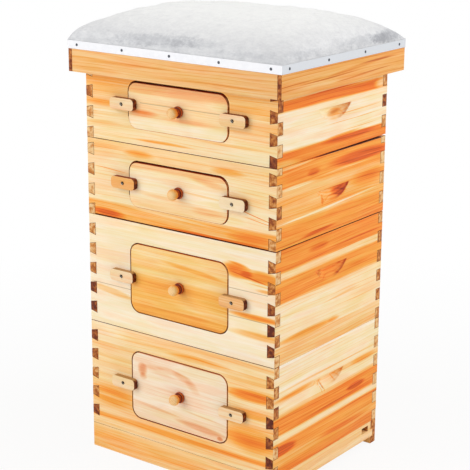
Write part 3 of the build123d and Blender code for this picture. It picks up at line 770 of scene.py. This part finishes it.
# Roof rim, floor and entrance bar: the same fir, planed.
rimLooks = {
    "roof_long_rails": {
        "grain": "x", "bottom": 863.5, "height": 48.5, "tone": 0.4, "life": 0.12, "seed": 71,
        "tones": rimTones, "rings": 0.26, "endTone": 0.6, "endSpread": 0.3,
        "streaks": [(-120, 30, 160, 4, 0.02, 0.2), (90, 14, 190, 4, 0, 0.18), (-200, 12, 80, 6, 0, 0.12)]},
    "roof_short_rails": {
        "grain": "y", "bottom": 863.5, "height": 48.5, "tone": 0.56, "life": 0.14, "seed": 73,
        "tones": rimTones, "rings": 0.32, "endTone": 0.62, "endSpread": 0.2,
        "streaks": [(60, 32, 150, 4, 0.06, 0.24), (-120, 14, 90, 7, 0, -0.15), (-60, 22, 120, 1.6, 0.02, 0.4),
                    (70, 14, 120, 1.8, 0.03, 0.4), (120, 36, 80, 2, 0, 0.3)]},
}
plainKeys = ("grain", "bottom", "height", "tone", "life", "seed")
plainLooks = {
    "floor_side_rails": ("x", 0, 57, 0.4, 0.2, 75), "floor_back_rail": ("y", 0, 57, 0.36, 0.2, 77),
    "floor_planks": ("y", 0, 57, 0.34, 0.24, 79), "entrance_reducer": ("y", 30, 30, 0.3, 0.14, 81),
    "inner_cover_rim": ("x", 891, 21, 0.26, 0.14, 83), "inner_cover_panel": ("x", 891, 21, 0.2, 0.16, 85),
    "roof_deck": ("x", 912, 20, 0.28, 0.2, 87)}
rimLooks.update({node: dict(zip(plainKeys, look)) for node, look in plainLooks.items()})
plankCount, coverRail, rimArris = 5, 40, 0.6
plankLow, plankHigh = (end.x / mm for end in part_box("floor_planks"))


def plankOf(point):
    return int((point.x - plankLow) / (plankHigh - plankLow) * plankCount), 0


def coverRailOf(point):
    # the short rails of the inner cover stand between the long ones
    if abs(point.y) > halfWidth - coverRail:
        return ("long", point.y > 0), 0
    return ("short", point.x > 0), 2


solidsOf = {"floor_planks": plankOf, "inner_cover_rim": coverRailOf}
for node, look in rimLooks.items():
    finishes = [firFinish(f"planedFir_{node}", look), glueLine]
    if node == "inner_cover_rim":
        finishes.append(firFinish(f"planedFir_{node}_short", {**look, "grain": "y", "seed": 84}))
    ease(node, finishes, rimArris, solidOf=solidsOf.get(node))
print("rim, floor and covers dressed")

# Frames: sawn pine laths, pale and slightly furry.
frameLook = {"grain": "x", "tone": 0.16, "life": 0.14, "endTone": 0.0, "endSpread": 0.4}
# Foundation: rolled beeswax, embossed with cells of 5.3 mm; soft, a little see-through.
waxLook = {"cell": 5.3, "colours": [(0.0, "#F2CF72"), (1.0, "#D9A53C")], "emboss": 0.5, "strength": 0.6,
           "uneven": 0.1, "wall": (0.03, 0.2),  # how far cells stray, and how their walls rise
           "plain": {"Roughness": 0.45, "IOR": 1.44, "Subsurface Weight": 0.15}}
# Window pane: cast acrylic, clear, polished, with faint smears.
paneLook = {"patch": 45, "detail": 4, "sheen": (0.35, 0.7, 0.02, 0.12),
            "plain": {"Base Color": "#F2F8F8", "Transmission Weight": 0.95, "IOR": 1.49}}


def waxFinish():
    material, add, coords = newFinish("rolledBeeswax")
    axes = add("SeparateXYZ", [coords["Object"]]).outputs
    flat = add("CombineXYZ", [axes[0], axes[2]])
    cells = add("TexVoronoi", {"Vector": flat, "Scale": 1 / (waxLook["cell"] * mm),
                               "Randomness": waxLook["uneven"]},
                feature="DISTANCE_TO_EDGE", voronoi_dimensions="2D")
    wall = add("MapRange", [cells, *waxLook["wall"]])
    bump = add("Bump", {"Height": wall, "Strength": waxLook["strength"], "Distance": waxLook["emboss"] * mm},
               invert=True)
    colour = add("ValToRGB", [wall], stops=waxLook["colours"])
    add("OutputMaterial", [add("BsdfPrincipled", {**waxLook["plain"], "Base Color": colour, "Normal": bump})])
    return material


wax, acrylic = waxFinish(), patchyFinish("castAcrylic", paneLook)
for order, name, size, level, height in boxes():
    pine = firFinish(f"sawnPine_{name}", {**frameLook, "bottom": level, "height": height, "seed": 90 + order})
    for piece, finish in (("frames", pine), ("foundations", wax), ("window_pane", acrylic)):
        mesh = frame["nodes"][f"{name}_{piece}"].data
        mesh.materials.clear()
        mesh.materials.append(finish)
print("frames, wax and panes finished")

# Roof sheet: hot-dip galvanised steel, rolled and weathered. The crown is dull and mottled in soft
# grey clouds, with painted shade low on its edges; the fold round the edge stayed brighter, painted darker on
# its short sides.
sheetLook = {
    "length": 552.0, "width": 462.0, "rise": 70.0, "deckTop": 931.0, "fold": 18.5, "thickness": 0.8,
    "endShoulder": 2.0, "sideShoulder": 20.0, "endDegree": 9, "sideDegree": 5, "steps": (128, 104),
    "dents": ((75.0, 2.6), (31.0, 2.2), (13.0, 1.0)),  # width and depth of each kind
    "sunk": 1.5,  # the dents leave the crown so much lower on the whole
    "fullCorner": (0.25, 0.3, 2.0, 0.8),  # reach along and back as shares, shoulder, extra lift
}
crownLook = {
    "mottle": 22.0, "speck": 7.0, "relief": 2.5, "roughness": (0.8, 0.62), "metallic": 0.25,
    "squash": 1.9,  # the mottle lies flat: so much lower than wide
    "specks": 0.8, "cloudy": 0.55, "pale": (0.5, 0.11),  # shares of specks and clouds, contrast and lightness
    "strength": 0.75, "broken": (0.6, 1.2, 0.3, 0.75),  # of the relief; how clouds break the painted shade up
    "colours": [(0.1, "#A6A7AC"), (0.34, "#CBCCCF"), (0.56, "#E3E3E4"), (0.84, "#FBFBF9")],
    "grime": [  # painted shade low on the edges, along x and along y, as streaks are, but from the ground
        [(-40, 949, 130, 14, 0.05, -0.17), (60, 952, 80, 10, 0.03, -0.1), (190, 942, 80, 6, 0, -0.05)],
        [(155, 944, 75, 15, 0, -0.26), (70, 945, 110, 12, 0, -0.13), (-150, 944, 70, 10, 0, -0.1)]],
}
foldLook = {"spangle": 9, "share": 0.16, "roughness": (0.4, 0.52), "metallic": 0.5,
            "colours": [(0.0, "#E1E1E4"), (0.2, "#DBDCE0"), (1.0, "#D2D5DA")]}  # short sides darker and bluish: painted shade


def mottledZinc():
    material, add, coords = newFinish("weatheredGalvanisedSteel")
    squashed = add("VectorMath", [coords["Object"], (1, 1, crownLook["squash"])], "MULTIPLY")
    cloud, speck = (add("TexNoise", {"Vector": squashed, "Scale": 1 / (crownLook[label] * mm),
                                     "Detail": detail, "Roughness": 0.6})
                    for label, detail in (("mottle", 4), ("speck", 3)))
    both = add("MULTIPLY_ADD", [speck, crownLook["specks"], cloud])
    # painted shade: greyer low down, paler on the top
    inMm = add("VectorMath", [coords["Object"], (1 / mm,) * 3], "MULTIPLY")
    spot = add("SeparateXYZ", [inMm]).outputs
    shadeAndMottle = add("MapRange", [spot[2], sheetLook["deckTop"], sheetLook["deckTop"] + sheetLook["rise"]])
    shadeAndMottle = add("MULTIPLY_ADD", [both, crownLook["cloudy"], shadeAndMottle])
    shadeAndMottle = add("MULTIPLY_ADD", [shadeAndMottle, *crownLook["pale"]])
    broken = add("MapRange", [both, *crownLook["broken"]])
    for way, patches in zip(spot, crownLook["grime"]):
        shadeAndMottle = addPatches(add, shadeAndMottle, (way, spot[2], 0.0, broken), 0.0, patches)
    rough = add("MapRange", [cloud, 0.3, 0.7, *crownLook["roughness"]])
    bump = add("Bump", {"Height": both, "Strength": crownLook["strength"],
                        "Distance": crownLook["relief"] * mm})
    add("OutputMaterial", [add("BsdfPrincipled", {
        "Base Color": add("ValToRGB", [shadeAndMottle], stops=crownLook["colours"]), "Roughness": rough,
        "Normal": bump, "Metallic": crownLook["metallic"]})])
    return material


def brightZinc():
    material, add, coords = newFinish("foldedGalvanisedSteel")
    spangle = add("TexVoronoi", {"Vector": coords["Object"], "Scale": 1 / (foldLook["spangle"] * mm)}).outputs
    # painted shade: the faces that look along x get the darker, bluish end of the ramp
    shadedSides = add("ABSOLUTE", [add("SeparateXYZ", [coords["Normal"]])])
    grey = add("MULTIPLY_ADD", [spangle[1], foldLook["share"], shadedSides])
    add("OutputMaterial", [add("BsdfPrincipled", {
        "Base Color": add("ValToRGB", [grey], stops=foldLook["colours"]), "Metallic": foldLook["metallic"],
        "Roughness": add("MapRange", [spangle[0], 0.0, 0.8, *foldLook["roughness"]])})])
    return material


def crownPoint(across, down):
    # the pillow of the roof: both shares run from 0 to 1; full at the ends, softer over the long sides
    look = sheetLook

    def station(size, shoulder, degree, share):
        inner = size / 2 - shoulder
        places = [-size / 2] + [inner * (2 * k / (degree - 2) - 1) for k in range(degree - 1)] + [size / 2]
        return sum(math.comb(degree, k) * share ** k * (1 - share) ** (degree - k) * place
                   for k, place in enumerate(places))

    def rising(share, degree):
        return (1 - (1 - share) ** degree - share ** degree) / (1 - 2 * 0.5 ** degree)

    def eased(share):
        share = max(0.0, share)
        return share * share * (3 - 2 * share)

    x = station(look["length"], look["endShoulder"], look["endDegree"], across)
    y = station(look["width"], look["sideShoulder"], look["sideDegree"], down)
    lift = rising(across, look["endDegree"]) * rising(down, look["sideDegree"])
    # the front left corner is fuller
    reachAlong, reachBack, shoulder, extra = look["fullCorner"]
    fuller = eased(1 - across / reachAlong) * eased(1 - down / reachBack)
    y += fuller * (station(look["width"], shoulder, look["sideDegree"], down) - y)
    lift *= 1 + extra * fuller
    # dents of a hand-beaten sheet
    dent = sum(depth * noise.noise(Vector((x, y, width)) / width) for width, depth in look["dents"])
    return Vector((x, y, look["deckTop"] + (look["rise"] + dent - look["sunk"]) * lift))


def roofSheet():
    look = sheetLook
    thick, top, low = look["thickness"], look["deckTop"], look["deckTop"] - look["fold"]
    shape = bmesh.new()
    columns, rows = look["steps"]
    skins = [[[shape.verts.new(crownPoint(column / columns, row / rows) - Vector((0, 0, drop)))
               for column in range(columns + 1)] for row in range(rows + 1)] for drop in (0.0, thick)]
    for skin, way in zip(skins, (1, -1)):
        for near, far in zip(skin, skin[1:]):
            for column in range(columns):
                corners = (near[column], near[column + 1], far[column + 1], far[column])
                shape.faces.new(corners[::way])
    upper, lower = (skin[0][:-1] + [row[-1] for row in skin[:-1]] + skin[-1][:0:-1]
                    + [row[0] for row in skin[:0:-1]] for skin in skins)
    for index in range(len(upper)):
        shape.faces.new((upper[index], upper[index - 1], lower[index - 1], lower[index]))
    for face in shape.faces:
        face.smooth = True
    # the fold: a thin band with a soft bend at the top, mitred at the corners
    outline = [(-thick, low + 0.2), (-0.3, low), (0.0, low + 0.4), (0.0, top - 0.9), (-0.25, top - 0.3),
               (-0.8, top), (-thick, top - thick)]
    loops = [[shape.verts.new((wayX * (look["length"] / 2 + out), wayY * (look["width"] / 2 + out), z))
              for out, z in outline] for wayX, wayY in squareCorners]
    for before, after in zip(loops, loops[1:] + loops[:1]):
        for step in range(len(outline)):
            face = shape.faces.new((before[step - 1], after[step - 1], after[step], before[step]))
            face.material_index = 1
    bmesh.ops.recalc_face_normals(shape, faces=shape.faces)
    bmesh.ops.scale(shape, vec=(mm, mm, mm), verts=shape.verts)
    closePiece("roof_sheet", "folded", shape, [mottledZinc(), brightZinc()])


roofSheet()
print("roof sheet folded")

# Screws and nails: zinc-plated steel gone dull; on the screw heads painted shade, dark round the rim and in
# the recess, and a painted highlight in the middle of the head.
steelLook = {"patch": 2.5, "detail": 3, "sheen": (0.0, 1.0, 0.32, 0.55), "plain": {"Metallic": 0.7}}
screwSteel = patchyFinish("dullZincPlatedSteel", {
    **steelLook, "colours": [(0.35, "#2A190E"), (0.65, "#E6DCCA")],
    "bare": ((-0.2, -0.93, -0.3), 0.82, 0.97, -0.3, 0.45)})
nailSteel = patchyFinish("wireNailSteel", {**steelLook, "colours": [(0.35, "#2E3036"), (0.65, "#5E6068")]})
headShape = {"turns": 32, "sharp": 35, "rings": 10, "round": 0.97}
screwShape = {**headShape, "radius": 3.75, "height": 2.3, "out": 12.6, "shank": 2.0, "deep": 11.0,
              "recess": 1.5, "arm": 2.3, "slot": 0.55}
nailShape = {**headShape, "radius": 3.0, "height": 1.1, "shank": 1.1, "deep": 22.0}
nailRows = {"long": 5, "short": 4, "margin": 25.0, "level": 921.75}


def domeOutline(look):
    # a shank under a round head
    count = look["rings"]
    rings = [ring / count for ring in range(count, 0, -1)]
    return [(look["shank"], -look["deep"]), (look["shank"], 0.0), (look["radius"], 0.0)] + [
        (look["radius"] * ring, look["height"] * math.sqrt(1 - ring ** 2 * look["round"])) for ring in rings]


def crossRecess(radius, side, up):
    if radius < screwShape["arm"] and min(abs(side), abs(up)) < screwShape["slot"]:
        return screwShape["recess"] * (1 - radius / screwShape["arm"]) ** 0.5
    return 0.0


def outOfFold(isLong, along, way, side, up, out):
    face = way * (sheetLook["width" if isLong else "length"] / 2 + out)
    x, y = (along + side, face) if isLong else (face, along + side)
    return x, y, nailRows["level"] + up


for name in boxNames:
    node = f"{name}_button_screws"
    low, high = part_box(node)
    ends = (low.x / mm + screwShape["radius"], high.x / mm - screwShape["radius"])
    y, z = -halfWidth - screwShape["out"], (low.z + high.z) / 2 / mm
    spots = [partial(outOfFront, (x, y, z)) for x in ends]
    turned(node, "domed", domeOutline(screwShape), screwShape, spots, screwSteel, crossRecess)

spots = []
for isLong, count, size in ((True, nailRows["long"], "length"), (False, nailRows["short"], "width")):
    reach = sheetLook[size] / 2 - sheetLook["thickness"] - nailRows["margin"]
    for index in range(count):
        along = -reach + 2 * reach * index / (count - 1)
        spots += [partial(outOfFold, isLong, along, way) for way in (-1, 1)]
turned("roof_nails", "domed", domeOutline(nailShape), nailShape, spots, nailSteel)
print("screws and nails set")

# Studio: matt paper that runs out to white, a soft sky, and three softboxes.
stageLook = {"half": 20.0, "under": 0.0005, "colour": "#F6F5F2", "roughness": 0.9,
             "white": (0.55, 1.6, 0.9, 1.0),  # from and to so far from the hive, shares of white there
             "sky": 0.5}
softboxes = {
    "keyLeft": {"place": (-2.0, -3.9, 2.3), "aim": (0, 0, 0.55), "size": 4.0, "power": 107},
    "fillRight": {"place": (3.4, 1.4, 2.3), "aim": (0, 0, 0.5), "size": 3.0, "power": 71},
    "topSoft": {"place": (0.4, 0.2, 4.2), "aim": (0, 0, 0.9), "size": 2.2, "power": 6},
}


def seenRays(add):
    # rays that show the backdrop itself: camera, glossy and transmission
    path = add("LightPath").outputs
    seen = add("MAXIMUM", [path["Is Camera Ray"], path["Is Glossy Ray"]])
    return add("MAXIMUM", [seen, path["Is Transmission Ray"]])


world = bpy.data.worlds.new("studioSky")
bpy.context.scene.world = world
world.use_nodes = True
world.node_tree.nodes.clear()
add = partial(addNode, world.node_tree)
lightSky, whiteSky = (add("Background", ["#FFFFFF", strength]) for strength in (stageLook["sky"], 1.0))
add("OutputWorld", [add("MixShader", [seenRays(add), lightSky, whiteSky])])

paper, add, coords = newFinish("mattPaper")
sheet = add("BsdfPrincipled", {"Base Color": stageLook["colour"], "Roughness": stageLook["roughness"],
                               "Specular IOR Level": 0.0})
away = add("VectorMath", [coords["Object"]], "LENGTH").outputs[1]
whiter = add("MapRange", [away, *stageLook["white"]])
share = add("MULTIPLY", [seenRays(add), whiter])
add("OutputMaterial", [add("MixShader", [share, sheet, add("Emission", ["#FFFFFF", 1.0])])])
half, under = stageLook["half"], stageLook["under"]
floorMesh = bpy.data.meshes.new("floor")
floorMesh.from_pydata([(x * half, y * half, -under) for x, y in squareCorners], [], [(0, 1, 2, 3)])
floorMesh.materials.append(paper)
floor = newObject("floor", floorMesh)

for name, look in softboxes.items():
    lamp = bpy.data.lights.new(name, "AREA")
    lamp.shape = "SQUARE"
    lamp.size = look["size"]
    lamp.energy = look["power"]
    holder = newObject(name, lamp)
    holder.location = look["place"]
    holder.rotation_euler = (Vector(look["aim"]) - Vector(look["place"])).to_track_quat("-Z", "Y").to_euler()

# Camera: the photograph's own place, fitted to the corners of the boxes and the roof.
cameraLook = {"aim": (0, 0, 0.48), "azimuth": 36.608, "elevation": 15.961, "roll": 0.358, "distance": 3.152,
              "slide": (-0.00308, 0.01682), "lens": 109.15, "sensor": 36.0}
azimuth, elevation, roll = (math.radians(cameraLook[key]) for key in ("azimuth", "elevation", "roll"))
back = Vector((math.sin(azimuth) * math.cos(elevation), -math.cos(azimuth) * math.cos(elevation),
               math.sin(elevation)))
level = Vector((math.cos(azimuth), math.sin(azimuth), 0))
upright = back.cross(level)
right = math.cos(roll) * level + math.sin(roll) * upright
up = math.cos(roll) * upright - math.sin(roll) * level
spot = (Vector(cameraLook["aim"]) + back * cameraLook["distance"] + right * cameraLook["slide"][0]
        + up * cameraLook["slide"][1])
lens = bpy.data.cameras.new("camera")
lens.lens = cameraLook["lens"]
lens.sensor_width = cameraLook["sensor"]
camera = newObject("camera", lens)
camera.matrix_world = Matrix.Translation(spot) @ Matrix((right, up, back)).transposed().to_4x4()
bpy.context.scene.camera = camera
bpy.context.scene.view_settings.view_transform = "Standard"
print("studio and camera set")
